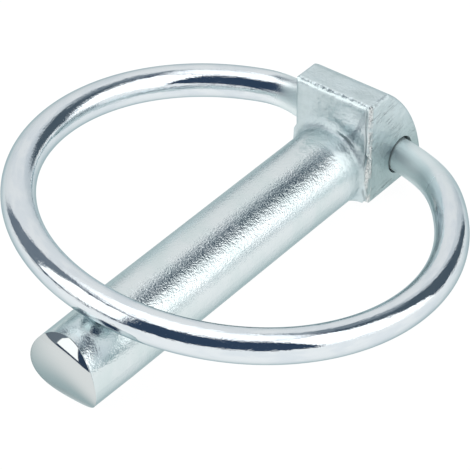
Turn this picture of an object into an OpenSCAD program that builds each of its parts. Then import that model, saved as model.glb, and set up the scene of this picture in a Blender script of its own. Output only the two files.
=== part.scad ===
// Lynch pin: a forged pin with a flat-sided, D-shaped head, and a sprung wire ring that hinges in
// the head's cross hole and closes over the shank.
//
// The pin is drawn in its own axes: X runs along the shank to the tip, Z points up through the head,
// and the zero point is on the shank's axis in the plane of the head's front face. lie_down() then
// puts the origin where the shank's full round begins and rolls the pin on its side, as it comes to
// rest on a table: on the shank and on one lower corner of the head.

/* [Shank] */
// Diameter of the shank
shank_d = 10; // [8:0.1:11]
// Length of the shank on its axis, from the head's front face to the crowned end
shank_len = 49.6; // [49:0.1:70]
// Length of the slightly drawn-down lead behind the end
lead_len = 7; // [5:0.1:7.5]
// How much smaller the radius is at the end of the lead
lead_draw = 0.08; // [0.02:0.01:0.3]
// Radius of the fillet between shank and head
root_r = 1.2; // [0.6:0.1:1.6]

/* [Shank end] */
// Radius of the crown on the sheared end
crown_r = 9.5; // [8:0.5:40]
// Roll of the crown's crest about the shank's axis, in degrees
crown_roll = 5; // [0:1:30]
// How far the end is out of square, in degrees: longer on its front side, and longer on top
end_skew_side = 3.3; // [0:0.1:8]
end_skew_top = 4.1; // [0:0.1:8]

/* [Head] */
// Width of the head across its flat sides
head_w = 11.2; // [10.5:0.1:14]
// Height of the head's flat top above the shank's axis
head_top = 10.15; // [9:0.05:14]
// Depth of the head's underside below the shank's axis
head_drop = 4; // [3.6:0.05:4.4]
// Length of the head behind its front face, at the underside
head_depth = 11.35; // [10.8:0.05:14]
// Radius of the head's sloping back
back_r = 19.5; // [16:0.5:40]
// How far the centre of the back's arc lies below the underside
back_sink = 1.2; // [0:0.1:3]
// Radius of the two corners at the ends of the back
corner_r = 2; // [1:0.1:3]
// Radius on the head's front edges
front_r = 0.8; // [0.4:0.05:1.2]
// Radius on all other edges of the head
edge_r = 0.5; // [0.3:0.05:0.8]

/* [Cross hole] */
// Distance of the cross hole behind the head's front face
hole_back = 6.5; // [5.5:0.1:7]
// Height of the cross hole above the shank's axis, halfway through the head
hole_height = 0.4; // [0:0.1:1.5]
// Slope of the hole, and of the ring that hinges in it, in degrees
hole_slope = 5.2; // [0:0.1:7]
// Radial clearance of the wire in the hole
hole_clear = 0.35; // [0.35:0.05:0.6]

/* [Ring] */
// Diameter of the ring's wire
wire_d = 4.1; // [3:0.1:4.5]
// Radius of the ring, to the centre of its wire
ring_r = 25.1; // [23:0.1:30]
// Distance from the head's front face to where the closed ring's wire crosses the shank
ring_reach = 44.1; // [44:0.1:52]
// Gap between the closed ring and the shank
ring_gap = 0.12; // [0.05:0.01:0.3]
// Rise of the closed ring's plane towards the tip, in degrees
ring_pitch = 4.5; // [2:0.1:7]
// Where the ring's round part ends on the front side, in degrees from its far point
front_turn = 127.5; // [115:0.5:135]
// Where the ring's round part ends on the rear side, in degrees from its far point
rear_turn = 150; // [140:0.5:153]
// How deep in the hole the front end starts to bend
front_bend_in = 2.2; // [2:0.1:3.5]
// How deep in the hole the rear end starts to bend
rear_bend_in = 1.2; // [0.8:0.1:1.4]
// Gap between the wire's two ends, inside the hole
ends_gap = 1.4; // [0.6:0.1:2]

/* [Hidden] */
$fn = 72;

shank_r = shank_d / 2;
wire_r = wire_d / 2;
hole_r = wire_r + hole_clear;
// Past every edge, so that a cut leaves no skin
over = 1;
// Each length of wire starts this far inside the one before it, and is this much thinner
lap = 0.1;
step_in = 0.01;
// Across everything, for tools that only cut one side
reach = 4 * shank_len;

// Centre of the head's arched back, and the centres of the two corner rounds at its ends. The rounds
// stand proud by a hair, so that they cross the faces they blend and don't only touch them.
proud = 0.005;
back_c = [back_r - head_depth, -head_drop - back_sink];
top_c = corner_centre(head_top - corner_r + proud);
low_c = corner_centre(corner_r - head_drop - proud);
function corner_centre(z) =
    [back_c.x - sqrt(pow(back_r - corner_r + proud, 2) - pow(z - back_c.y, 2)), z];

// The pin rests on its shank and on the lower side corner of its head, rounded by edge_r.
// Both touch the same plane once the pin has rolled by this angle.
corner_y = head_w / 2 - edge_r;
corner_z = head_drop - edge_r;
lie_angle = atan2(corner_y, corner_z) - acos((shank_r - edge_r) / norm([corner_y, corner_z]));

// The ring is worked out in the hinge's axes: zero in the middle of the hole, Y along the hole.
// The closed ring leans on the shank, which sets the height of its centre.
lean = [cos(ring_pitch), 0, sin(ring_pitch)];
side = [0, 1, 0];
ring_c = [
    ring_reach + hole_back - ring_r * lean.x,
    0,
    shank_r + ring_gap + wire_r - ring_r * lean.z - hole_height * cos(hole_slope)
];
// Half the length of the hole between the head's flat sides
mouth = head_w / 2 / cos(hole_slope);
function on_ring(a) = ring_c + ring_r * (cos(a) * lean + sin(a) * side);
function along_ring(a) = cos(a) * side - sin(a) * lean;

function unit(v) = v / norm(v);

// ---- Placing ----

module lie_down() rotate([-lie_angle, 0, 0]) translate([-root_r, 0, 0]) children();

module at_hinge() translate([-hole_back, 0, hole_height]) rotate([-hole_slope, 0, 0]) children();

// Extrudes a section drawn in (y, z) from x0 to x1
module along_x(x0, x1) translate([x0, 0, 0]) rotate([90, 0, 90]) linear_extrude(x1 - x0) children();

// Extrudes a section drawn in (x, z) across the pin
module across(w) rotate([90, 0, 0]) linear_extrude(w, center = true) children();

// ---- Pin ----

// Rectangle from corner a to corner b with rounded corners
module rounded_rect(a, b, r) {
    translate([a.x + r, a.y]) square([b.x - a.x - 2 * r, b.y - a.y]);
    translate([a.x, a.y + r]) square([b.x - a.x, b.y - a.y - 2 * r]);
    for (x = [a.x + r, b.x - r], y = [a.y + r, b.y - r]) translate([x, y]) circle(r);
}

// The arched back: a round slice as wide as the head, with rounded rims
module back_slice() translate([back_c.x, 0, back_c.y])
    for (s = [0, 1]) mirror([0, s, 0]) rotate([-90, 0, 0]) rotate_extrude() {
        square([back_r - edge_r, head_w / 2]);
        square([back_r, head_w / 2 - edge_r]);
        translate([back_r - edge_r, head_w / 2 - edge_r]) circle(edge_r);
    }

// What a corner round takes off between the back and the flat side that faces up (1) or down (-1)
module corner_waste(c, up) across(head_w + 2 * over) difference() {
    polygon([
        c, c + 2 * corner_r * unit(c - back_c), c + 2 * corner_r * [-1, up], c + [0, 2 * corner_r * up]
    ]);
    translate(c) circle(corner_r);
}

module head() difference() {
    intersection() {
        // rounds the edges along the head's sides
        along_x(-2 * head_depth, over)
            rounded_rect([-head_w / 2, -head_drop], [head_w / 2, head_top], edge_r);
        // rounds the front's upright edges
        translate([0, 0, -head_drop - over]) linear_extrude(head_drop + head_top + 2 * over)
            rounded_rect([-2 * head_depth, -head_w / 2], [0, head_w / 2], front_r);
        // rounds the front's top and bottom edges
        across(head_w + 4 * over)
            rounded_rect([-2 * head_depth, -head_drop], [0, head_top], front_r);
        back_slice();
    }
    corner_waste(top_c, 1);
    corner_waste(low_c, -1);
}

// Fillet round the shank, flush with the head's sides and underside
module root_fillet() intersection() {
    rotate([90, 0, 90]) rotate_extrude() difference() {
        translate([shank_r / 2, -front_r]) square([shank_r / 2 + root_r, root_r + front_r]);
        translate([shank_r + root_r, root_r]) circle(root_r);
    }
    along_x(-reach, reach)
        translate([-head_w / 2, -head_drop]) square([head_w, head_drop + head_top - edge_r]);
}

// The shank's end: a crown whose crest is rolled and out of square, as shearing leaves it
module sheared_end() translate([shank_len, 0, 0])
    rotate([0, end_skew_top, -end_skew_side]) rotate([crown_roll, 0, 0]) across(4 * shank_d) {
        translate([-crown_r, 0]) circle(crown_r, $fn = 2 * $fn);
        translate([-crown_r - reach, -crown_r]) square([reach, 2 * crown_r]);
    }

// Round bar, drawn down along the lead. Its root runs out in a ball under the head
module shank() intersection() {
    rotate([90, 0, 90]) rotate_extrude() {
        translate([0, root_r]) square([shank_r, shank_len - lead_len - root_r]);
        translate([0, shank_len - lead_len]) polygon([
            [0, 0], [shank_r, 0], [shank_r - lead_draw, lead_len],
            [shank_r - lead_draw, lead_len + shank_r], [0, lead_len + shank_r]
        ]);
        intersection() {
            translate([0, root_r]) circle(shank_r);
            translate([0, root_r - shank_r]) square(shank_r);
        }
    }
    sheared_end();
}

module pin() color([0.74, 0.79, 0.80]) lie_down() difference() {
    union() {
        head();
        root_fillet();
        shank();
    }
    at_hinge() rotate([90, 0, 0]) cylinder(h = 4 * head_w, r = hole_r, center = true);
}

// ---- Ring ----

// Frame with its zero at o and its first two axes along x and y
function frame(o, x, y) = let (z = cross(x, y))
    [[x.x, y.x, z.x, o.x], [x.y, y.y, z.y, o.y], [x.z, y.z, z.z, o.z], [0, 0, 0, 1]];

// A bend is the one arc that leaves p along t and ends at q
function bend_angle(p, t, q) = 2 * acos(t * unit(q - p));
function bend_radius(p, t, q) = norm(q - p) / (2 * sin(bend_angle(p, t, q) / 2));
function bend_inward(p, t, q) = unit(q - p - t * (t * (q - p)));
function bend_exit(p, t, q) =
    let (a = bend_angle(p, t, q)) cos(a) * t + sin(a) * bend_inward(p, t, q);

// Where two bends meet that lead from p along t to q along u, with equal tangent lengths
function bends_meet(p, t, q, u) =
    let (v = q - p, k = 2 * (1 - t * u), b = v * (t + u), d = (sqrt(b * b + k * (v * v)) - b) / k)
    (p + q + d * (t - u)) / 2;

// Length of wire bent to radius r. All but the first start a lap early, inside the one before
module wire_arc(r, angle, thinner = 0) {
    lap_angle = thinner > 0 ? lap / r * 180 / PI : 0;
    rotate([0, 0, -lap_angle]) rotate_extrude(angle = angle + lap_angle)
        translate([r, 0]) circle(wire_r - thinner * step_in, $fn = 36);
}

module bend(p, t, q, thinner) {
    r = bend_radius(p, t, q);
    inward = bend_inward(p, t, q);
    multmatrix(frame(p + r * inward, -inward, t)) wire_arc(r, bend_angle(p, t, q), thinner);
}

// End of the wire: two bends from p on the ring to the depth y in the hole, then straight to its end
module wire_end(p, t, y) {
    into = y > 0 ? -side : side;
    in_hole = [0, y, 0];
    m = bends_meet(p, t, in_hole, into);
    bend(p, t, m, 1);
    bend(m, bend_exit(p, t, m), in_hole, 2);
    translate(in_hole - lap * into) rotate([into.y > 0 ? -90 : 90, 0, 0])
        cylinder(h = abs(y) + lap - ends_gap / 2, r = wire_r - 3 * step_in);
}

module ring() color([0.80, 0.84, 0.86]) lie_down() at_hinge() {
    multmatrix(frame(ring_c, unit(on_ring(-rear_turn) - ring_c), along_ring(-rear_turn)))
        wire_arc(ring_r, rear_turn + front_turn);
    wire_end(on_ring(front_turn), along_ring(front_turn), mouth - front_bend_in);
    wire_end(on_ring(-rear_turn), -along_ring(-rear_turn), rear_bend_in - mouth);
}

pin();
ring();
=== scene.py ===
"""Looks of the lynch pin: bright zinc plated steel on a white table.

Lengths are in metres. The pin's own axes are the ones of its drawing: X from the head's front face
to the free end, Y to its front, Z up through the head. The frame has the pin rolled onto its side
by LIE and moved by ROOT, so own_place() turns frame coordinates back into the pin's own.
"""
import math

import bpy
from mathutils import Matrix, Vector


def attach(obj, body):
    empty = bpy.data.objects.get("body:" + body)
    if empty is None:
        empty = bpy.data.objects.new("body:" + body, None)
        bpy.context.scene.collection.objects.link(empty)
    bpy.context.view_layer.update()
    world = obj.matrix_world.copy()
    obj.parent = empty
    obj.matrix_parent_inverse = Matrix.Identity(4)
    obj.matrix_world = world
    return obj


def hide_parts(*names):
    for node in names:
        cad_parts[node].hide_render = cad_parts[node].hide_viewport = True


LIE = math.radians(12.2174)
ROOT = 0.0012
SHANK_R = 0.005


# ---- Node helpers ----

def put(socket, value):
    """Links a socket to a node input, or sets the input's value."""
    if isinstance(value, bpy.types.NodeSocket):
        socket.id_data.links.new(value, socket)
    elif value is not None:
        if socket.type == "RGBA" and len(value) == 3:
            value = (*value, 1)
        socket.default_value = value


def add(tree, kind, *values, out=0, **settings):
    """Adds a node with these settings and inputs, and returns one of its outputs."""
    node = tree.nodes.new("ShaderNode" + kind)
    for name, value in settings.items():
        setattr(node, name, value)
    for socket, value in zip(node.inputs, values):
        put(socket, value)
    return node.outputs[out]


class Maths:
    """Short names for the math nodes of one tree."""

    def __init__(self, tree):
        self.tree = tree

    def __getattr__(self, name):
        return lambda *values: add(self.tree, "Math", *values, operation=name.upper())

    def ramp(self, value, start, end, low=0.0, high=1.0):
        """Goes smoothly from low to high as the value goes from start to end."""
        return add(self.tree, "MapRange", value, start, end, low, high,
                   interpolation_type="SMOOTHSTEP")

    def band(self, value, low, high, soft):
        """1 between low and high, 0 outside, with soft edges."""
        off = self.absolute(self.subtract(value, (low + high) / 2))
        half = (high - low) / 2
        return self.ramp(off, half + soft / 2, half - soft / 2)

    def product(self, first, *others):
        """All the values multiplied: for masks, where every one of them holds."""
        for other in others:
            first = self.multiply(first, other)
        return first

    def without(self, mask, share=1.0):
        """1 outside the mask, less by the share inside it."""
        return self.subtract(1.0, self.multiply(mask, share))

    def mix(self, amount, below, above):
        """Colour that goes from below to above. The sockets of a mix of colours have these numbers."""
        node = self.tree.nodes.new("ShaderNodeMix")
        node.data_type = "RGBA"
        for index, value in ((0, amount), (6, below), (7, above)):
            put(node.inputs[index], value)
        return node.outputs[2]

    def split(self, vector):
        """The vector's X, Y and Z."""
        node = self.tree.nodes.new("ShaderNodeSeparateXYZ")
        put(node.inputs[0], vector)
        return node.outputs

    def stretch(self, vector, scale):
        """The vector with each axis scaled, which draws a noise out along its smallest one."""
        return add(self.tree, "VectorMath", vector, scale, operation="MULTIPLY")

    def noise(self, place, scale, detail=2.0, rough=0.5):
        """Fractal noise, 0 to 1, with about `scale` grains to the metre."""
        return add(self.tree, "TexNoise", place, None, scale, detail, rough)

    def relief(self, height, depth, below=None):
        """Turns a height into relief, `depth` metres deep for a height of 1."""
        node = self.tree.nodes.new("ShaderNodeBump")
        put(node.inputs["Strength"], 1.0)
        put(node.inputs["Distance"], depth)
        put(node.inputs["Height"], height)
        put(node.inputs["Normal"], below)
        return node.outputs[0]

    def reliefs(self, layers):
        """Lays reliefs over each other. Each layer is a height and its depth."""
        normal = None
        for height, depth in layers:
            normal = self.relief(height, depth, normal)
        return normal


# ---- Studio ----

# Each card: colour, azimuth from and to, elevation from and to, softness of its edges, in degrees.
# Azimuth 0 is ahead of the pin's free end and 90 its front. Later cards cover earlier ones.
CARDS = {
    "backdrop": ((0.92, 0.915, 0.92), 181, 269, -6, 75, 4),
    "backdrop's dim end": ((0.70, 0.73, 0.76), 172, 194, -6, 75, 12),
    "side curtain": ((0.19, 0.225, 0.27), 269, 305, 0, 75, 5),
    "back flag": ((0.085, 0.115, 0.145), 143, 179, 0, 58, 5),
    "back flag's corner": ((0.22, 0.26, 0.30), 165, 190, 44, 61, 6),
    "left softbox": ((1.5, 1.5, 1.48), 304, 352, 6, 57, 1.5),
    "right softbox": ((1.6, 1.6, 1.6), 82, 142, 7, 63, 1.5),
}
ROOM = (0.036, 0.062, 0.11)
CEILING = (1.42, 1.42, 1.44)


def studio():
    """White ceiling, two softboxes and a pale backdrop in a dark room, the same for every ray."""
    world = bpy.data.worlds.new("studio")
    bpy.context.scene.world = world
    world.use_nodes = True
    tree = world.node_tree
    tree.nodes.clear()
    m = Maths(tree)
    way = add(tree, "TexCoord", out="Generated")
    way = add(tree, "VectorRotate", way, (0, 0, 0), (1, 0, 0), LIE, rotation_type="AXIS_ANGLE")
    x, y, z = m.split(way)
    azimuth = m.degrees(m.arctan2(y, x))
    height = m.degrees(m.arcsine(z))
    colour = ROOM
    for card, left, right, low, high, soft in CARDS.values():
        turned = m.wrap(m.subtract(azimuth, (left + right) / 2), 180, -180)
        half = (right - left) / 2
        mask = m.multiply(m.band(turned, -half, half, soft), m.band(height, low, high, soft))
        colour = m.mix(mask, colour, card)
    # white below the horizon, past the table's edges, and the ceiling above everything
    colour = m.mix(m.ramp(height, 0, -1), colour, (1, 1, 1))
    colour = m.mix(m.ramp(height, 60, 68), colour, CEILING)
    out = tree.nodes.new("ShaderNodeOutputWorld")
    put(out.inputs[0], add(tree, "Background", colour, 1.0))


# The camera as fitted to the photo: its focal length in pixels of a photo this wide, its place, and
# the directions to its right and ahead of it
FOCAL, PHOTO_WIDTH = 2838.7, 470
EYE = (0.222545, 0.200095, 0.164800)
RIGHT, AHEAD = (-0.6143, 0.7703, -0.1713), (-0.6208, -0.6057, -0.4978)


def camera():
    """Sees the pin from beyond its free end, from above and from its front."""
    data = bpy.data.cameras.new("camera")
    data.sensor_width = 36
    data.lens = FOCAL * data.sensor_width / PHOTO_WIDTH
    data.clip_end = 20
    obj = bpy.data.objects.new("camera", data)
    right = Vector(RIGHT).normalized()
    ahead = Vector(AHEAD)
    ahead = (ahead - ahead.dot(right) * right).normalized()
    turn = Matrix((right, right.cross(ahead), -ahead)).transposed().to_4x4()
    obj.matrix_world = Matrix.Translation(EYE) @ turn
    bpy.context.collection.objects.link(obj)
    bpy.context.scene.camera = obj


# The table's plain colour, the strength of its white, and how much of what is seen is that white
TABLE, WHITE, WHITE_SHARE = (0.9, 0.9, 0.9), 1.06, 0.9


def table():
    """White for the camera and in the metal, with a trace of the object's shadow."""
    bpy.ops.mesh.primitive_plane_add(size=4, location=(0, 0, -SHANK_R))
    floor = bpy.context.object
    floor.name = "table"
    mat = bpy.data.materials.new("table")
    mat.use_nodes = True
    tree = mat.node_tree
    tree.nodes.clear()
    m = Maths(tree)
    ray = tree.nodes.new("ShaderNodeLightPath").outputs
    seen = m.maximum(ray["Is Camera Ray"], ray["Is Glossy Ray"])
    seen = m.multiply(m.maximum(seen, ray["Is Transmission Ray"]), WHITE_SHARE)
    plain = add(tree, "BsdfDiffuse", TABLE)
    white = add(tree, "Emission", (1, 1, 1), WHITE)
    out = tree.nodes.new("ShaderNodeOutputMaterial")
    put(out.inputs[0], add(tree, "MixShader", seen, plain, white))
    mat.cycles.emission_sampling = "NONE"
    floor.data.materials.append(mat)


# ---- Zinc ----

# Colour of the reflection at a grazing angle: a guess that suits the photo, not a measured value
RIM = (0.40, 0.50, 0.52)


def metal(name):
    """A new metal: its material, its maths and its shader."""
    mat = bpy.data.materials.new(name)
    mat.use_nodes = True
    shader = mat.node_tree.nodes["Principled BSDF"]
    put(shader.inputs["Metallic"], 1.0)
    put(shader.inputs["Specular Tint"], RIM)
    return mat, Maths(mat.node_tree), shader


def own_place(m):
    """Where a point is in the pin's own axes."""
    place = add(m.tree, "TexCoord", out="Object")
    place = add(m.tree, "VectorRotate", place, (0, 0, 0), (1, 0, 0), LIE, rotation_type="AXIS_ANGLE")
    return add(m.tree, "VectorMath", place, (ROOT, 0, 0), operation="ADD")


# The dark in a scratch, and the painted shade in the groove beside the head's side edge
SCRATCH_DARK_AND_SHADE = (0.36, 0.42, 0.43)
# The sheared end in mm, as x over y and z: the drawing's crown of this radius, rolled and out of
# square, and the low dome that rounds its rim as relief. Each term is named by its factors, so "yyz"
# goes with y * y * z.
CROWN_R, ROLL_SIN, ROLL_COS = 9.5, 0.087, 0.996
CROWN = {"": 49.6, "y": 0.0577, "z": 0.0718}
DOME = {"": 50.4036, "y": 0.0611, "z": 0.2239, "yy": -0.0287, "yz": 0.0095, "zz": -0.07155,
        "yyz": -0.0086, "zzz": -0.00513, "yyyy": -0.00032, "yyzz": -0.00064, "zzzz": -0.00032}
# The mound on the head's front face, in mm
MOUND = dict(y=3.2, z=6.2, radius=3.2)
MM = 1000


def surface(m, terms, y, z):
    """Sum of the terms at y and z."""
    total = terms[""]
    for name, factor in terms.items():
        if name:
            axes = [{"y": y, "z": z}[axis] for axis in name]
            total = m.multiply_add(m.product(*axes), factor, total)
    return total


def sheared_end(m, x, y, z):
    """Mask of the free end's face, and how far the dome stands above it there, in mm."""
    x, y, z = (m.multiply(value, MM) for value in (x, y, z))
    bow = m.subtract(m.multiply(z, ROLL_COS), m.multiply(y, ROLL_SIN))
    crown = m.multiply_add(m.multiply(bow, bow), -0.5 / CROWN_R, surface(m, CROWN, y, z))
    face = m.ramp(m.subtract(x, crown), -0.14, -0.04)
    return face, m.multiply(m.subtract(surface(m, DOME, y, z), crown), face)


def worn_edges_and_crease(m, place):
    """Masks of the polished top edge, the chipped side edge and the groove beside it, whose dark
    colour is painted shade.
    """
    x, y, z = m.split(place)
    chipped = m.ramp(m.noise(m.stretch(place, (1, 1, 0.4)), 900, 3, 0.6), 0.38, 0.55)
    top = m.product(m.band(x, -0.0007, 0.0005, 0.0003), m.ramp(z, 0.0094, 0.0098))
    side = m.product(m.band(x, -0.0006, 0.0005, 0.0003), m.ramp(y, 0.0051, 0.0054), chipped)
    shaded_crease = m.product(m.band(y, 0.00492, 0.00510, 0.0001), m.band(x, -0.0003, 0.0004, 0.0002),
                       m.band(z, -0.0035, 0.0094, 0.002))
    return top, side, shaded_crease


def mound(m, place):
    """Mask of a low round mound on the head's front face, above the shank."""
    x, y, z = m.split(place)
    aside, above = m.multiply_add(y, MM, -MOUND["y"]), m.multiply_add(z, MM, -MOUND["z"])
    off = m.sqrt(m.multiply_add(aside, aside, m.multiply(above, above)))
    return m.product(m.ramp(off, MOUND["radius"], 0), m.band(x, -0.0004, 0.0004, 0.0003))


def scratches(m, place, side):
    """Mask of scratches, in patches, along the head's front side and 10 degrees off its length."""
    along = add(m.tree, "VectorRotate", place, (0, 0, 0), (0, 1, 0), math.radians(-10),
                rotation_type="AXIS_ANGLE")
    lines = m.noise(m.stretch(along, (0.06, 1, 1)), 5200, 2, 0.6)
    patch = m.ramp(m.noise(place, 330, 1, 0.5), 0.42, 0.58)
    return m.product(m.ramp(lines, 0.56, 0.66), patch, side)


def pin_zinc():
    """Plated forging: satin head with worn front edges, grainy shank, smooth sheared end."""
    mat, m, shader = metal("pin_zinc")
    place = own_place(m)
    x, y, z = m.split(place)
    # the head, whose look runs out along the root, the lead behind the end, and the head's front side
    head = m.ramp(x, 0.0052, 0.0014)
    lead = m.ramp(x, 0.0435, 0.0465)
    side = m.product(head, m.ramp(y, 0.0052, 0.0055))
    face, dome = sheared_end(m, x, y, z)
    top_edge, side_edge, shaded_crease = worn_edges_and_crease(m, place)
    mound_and_highlight, scratched = mound(m, place), scratches(m, place, side)

    # relief: grain and pits all over, less on head and lead and none on the end, then the wear
    grain, pits = m.noise(place, 4300, 2, 0.65), m.noise(place, 1300, 3, 0.6)
    hammered, nicks = m.noise(place, 420, 3, 0.6), m.noise(place, 1700, 3, 0.65)
    bar = m.product(m.without(lead, 0.4), m.without(face), m.without(head, 0.6))
    put(shader.inputs["Normal"], m.reliefs((
        (dome, 1 / MM),
        (m.multiply(grain, bar), 0.00005),
        (m.multiply(pits, bar), 0.00004),
        (m.multiply(scratched, -1.0), 0.0002),
        (m.multiply(hammered, head), 0.00035),
        (mound_and_highlight, 0.0007),
        (m.multiply(shaded_crease, -1.0), 0.00008),
        (m.multiply(nicks, side_edge), 0.0002),
    )))

    rough = 0.06
    for mask, more in ((head, 0.345), (m.multiply(pits, head), 0.12), (mound_and_highlight, -0.10),
                       (m.maximum(top_edge, side_edge), -0.20), (face, 0.01)):
        rough = m.multiply_add(mask, more, rough)
    put(shader.inputs["Roughness"], rough)

    # colour: tarnish in clouds, and painted shade that darkens the head's front side downwards
    tarnish = m.ramp(m.noise(place, 260, 3, 0.6), 0.35, 0.7)
    # painted shade: the head's front side gets darker towards its bottom, as light falls on it
    painted_shade_low_side = m.multiply(side, m.ramp(z, 0.007, -0.001))
    colour = (0.74, 0.80, 0.81)
    for mask, shade in (
        (tarnish, (0.68, 0.765, 0.77)),
        (m.multiply(head, m.without(tarnish)), (0.66, 0.755, 0.775)),
        (m.multiply(head, tarnish), (0.58, 0.675, 0.69)),
        (painted_shade_low_side, (0.44, 0.545, 0.55)),
        (m.multiply(scratched, 0.5), SCRATCH_DARK_AND_SHADE),
        # painted highlight: the mound's paler colour stands in for a bright reflection on the head's
        # front face
        (m.multiply(mound_and_highlight, 0.8), (0.86, 0.93, 0.95)),
        (face, (0.64, 0.675, 0.675)),
        # painted shade: the groove beside the side edge is darkened as a crease in shade
        (m.multiply(shaded_crease, 0.6), SCRATCH_DARK_AND_SHADE),
        (m.multiply(side_edge, 0.7), (0.80, 0.80, 0.78)),
    ):
        colour = m.mix(mask, colour, shade)
    put(shader.inputs["Base Color"], colour)
    return mat


# ---- Ring ----

# Sizes of the drawing: the wire's radius, the ring's radius to the wire's centre, how far ahead of
# the head's face its wire crosses the shank, how far the hole is behind that face and above the
# shank's axis, and the gap between the ring and the shank
WIRE = 0.00205
RING = dict(radius=0.0251, reach=0.0441, back=0.0065, height=0.0004, gap=0.00012)
# Slope of the hole, and rise of the closed ring's plane towards the tip
SLOPE, PITCH = math.radians(5.2), math.radians(4.5)
# Half the hole's length, how deep in it each end starts to bend, and half the gap between the ends
HALF_HOLE = 0.0056 / math.cos(SLOPE)
FRONT_BEND_IN, REAR_BEND_IN, HALF_GAP = 0.0022, 0.0012, 0.0007
# Where the ring's round part ends on each side, in degrees from its far point
FRONT_TURN, REAR_TURN = 127.5, -150


def bend(p, t, q, steps):
    """Points and directions along the one arc that leaves p along t and ends at q."""
    chord = q - p
    half = math.acos(max(-1, min(1, t.dot(chord.normalized()))))
    inward = (chord - t * t.dot(chord)).normalized()
    r = chord.length / (2 * math.sin(half))
    for i in range(1, steps + 1):
        a = 2 * half * i / steps
        yield (p + r * (math.sin(a) * t + (1 - math.cos(a)) * inward),
               math.cos(a) * t + math.sin(a) * inward)


def end_of_wire(p, t, depth, steps=36):
    """Two bends from p on the ring to this place along the hole, and the straight rest in it."""
    into = Vector((0, -1 if depth > 0 else 1, 0))
    q = Vector((0, depth, 0))
    v, k = q - p, 2 * (1 - t.dot(into))
    b = v.dot(t + into)
    d = (math.sqrt(b * b + k * v.dot(v)) - b) / k
    points = list(bend(p, t, (p + q + d * (t - into)) / 2, steps))
    points += bend(points[-1][0], points[-1][1], q, steps)
    last = Vector((0, math.copysign(HALF_GAP, depth), 0))
    return points + [(q.lerp(last, f), into) for f in (0.5, 1.0)]


def ring_path(steps=360):
    """Points and directions along the wire from its rear to its front end, in the hinge's axes."""
    lean = Vector((math.cos(PITCH), 0, math.sin(PITCH)))
    side = Vector((0, 1, 0))
    r = RING["radius"]
    centre = Vector((RING["reach"] + RING["back"] - r * lean.x, 0,
                     SHANK_R + RING["gap"] + WIRE - r * lean.z - RING["height"] * math.cos(SLOPE)))

    def on_ring(degrees):
        a = math.radians(degrees)
        return (centre + r * (math.cos(a) * lean + math.sin(a) * side),
                math.cos(a) * side - math.sin(a) * lean)

    p, t = on_ring(REAR_TURN)
    points = [(q, -u) for q, u in reversed(end_of_wire(p, -t, REAR_BEND_IN - HALF_HOLE))]
    points += [on_ring(REAR_TURN + (FRONT_TURN - REAR_TURN) * i / steps) for i in range(steps + 1)]
    return points + end_of_wire(*on_ring(FRONT_TURN), HALF_HOLE - FRONT_BEND_IN)


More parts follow.
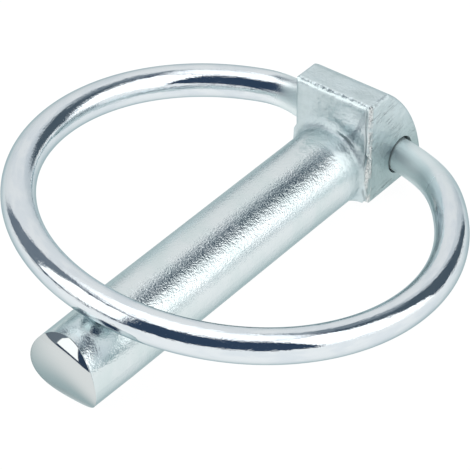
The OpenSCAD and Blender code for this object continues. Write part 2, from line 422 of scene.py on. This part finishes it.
def ring_wire(sides=96):
    """The wire as one smooth tube, for reflections without facets. It stands for the CAD ring."""
    hinge = (Matrix.Rotation(-LIE, 4, "X")
             @ Matrix.Translation((-ROOT - RING["back"], 0, RING["height"]))
             @ Matrix.Rotation(-SLOPE, 4, "X"))
    path = ring_path()
    verts, faces, along = [], [], []
    across = path[0][1].orthogonal().normalized()
    run, last = 0.0, path[0][0]
    for p, t in path:
        across = (across - t * across.dot(t)).normalized()
        other = t.cross(across)
        run += (p - last).length
        last = p
        for i in range(sides):
            a = 2 * math.pi * i / sides
            out = math.cos(a) * across + math.sin(a) * other
            verts.append(hinge @ (p + WIRE * out))
            along.append((run, WIRE * math.cos(a), WIRE * math.sin(a)))
    for j in range(len(path) - 1):
        for i in range(sides):
            k = (i + 1) % sides
            faces.append((j * sides + i, j * sides + k, (j + 1) * sides + k, (j + 1) * sides + i))
    count = len(path) * sides
    faces += [tuple(reversed(range(sides))), tuple(range(count - sides, count))]
    mesh = bpy.data.meshes.new("ring_wire")
    mesh.from_pydata(verts, [], faces)
    mesh.shade_smooth()
    for face in mesh.polygons[-2:]:
        face.use_smooth = False
    place = mesh.attributes.new("wire", "FLOAT_VECTOR", "POINT")
    place.data.foreach_set("vector", [v for p in along for v in p])
    obj = bpy.data.objects.new("ring_wire", mesh)
    bpy.context.collection.objects.link(obj)
    return obj


def ring_zinc():
    """Plated spring wire: polished round the ring, satin where it bends into the head."""
    mat, m, shader = metal("ring_zinc")
    # X of this attribute is the way along the wire from its rear end, Y and Z are across it
    wire = add(m.tree, "Attribute", out="Vector", attribute_name="wire")
    run = m.split(wire)[0]
    satin = m.maximum(m.ramp(run, 0.0135, 0.0100), m.ramp(run, 0.136, 0.150))
    drawn = m.noise(m.stretch(wire, (0.12, 1, 1)), 3800, 2, 0.6)
    wavy = m.noise(m.stretch(wire, (0.3, 1, 1)), 900, 2, 0.5)
    blotch = m.ramp(m.noise(m.stretch(wire, (0.25, 1, 1)), 520, 2, 0.5), 0.42, 0.6)
    speckle = m.multiply(m.noise(wire, 3000, 3, 0.7), m.multiply_add(blotch, 0.8, 0.2))
    put(shader.inputs["Normal"],
        m.reliefs(((drawn, 0.000018), (speckle, 0.00002), (wavy, 0.000006))))
    put(shader.inputs["Roughness"],
        m.multiply_add(satin, 0.43, m.multiply_add(blotch, 0.03, 0.05)))
    colour = m.mix(m.ramp(wavy, 0.4, 0.65), (0.76, 0.81, 0.835), (0.70, 0.76, 0.80))
    put(shader.inputs["Base Color"], m.mix(satin, colour, (0.86, 0.93, 0.935)))
    return mat


# ---- The scene ----

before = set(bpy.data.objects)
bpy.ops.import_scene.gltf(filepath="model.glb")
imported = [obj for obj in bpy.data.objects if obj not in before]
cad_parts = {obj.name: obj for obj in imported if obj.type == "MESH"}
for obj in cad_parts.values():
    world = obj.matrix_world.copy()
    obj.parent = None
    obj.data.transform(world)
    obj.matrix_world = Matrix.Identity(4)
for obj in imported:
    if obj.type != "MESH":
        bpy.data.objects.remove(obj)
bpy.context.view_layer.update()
camera()
studio()
table()

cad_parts["pin"].material_slots[0].material = pin_zinc()
wire = ring_wire()
wire.data.materials.append(ring_zinc())
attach(wire, "ring")
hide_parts("ring")

bpy.context.scene.view_settings.view_transform = "Standard"
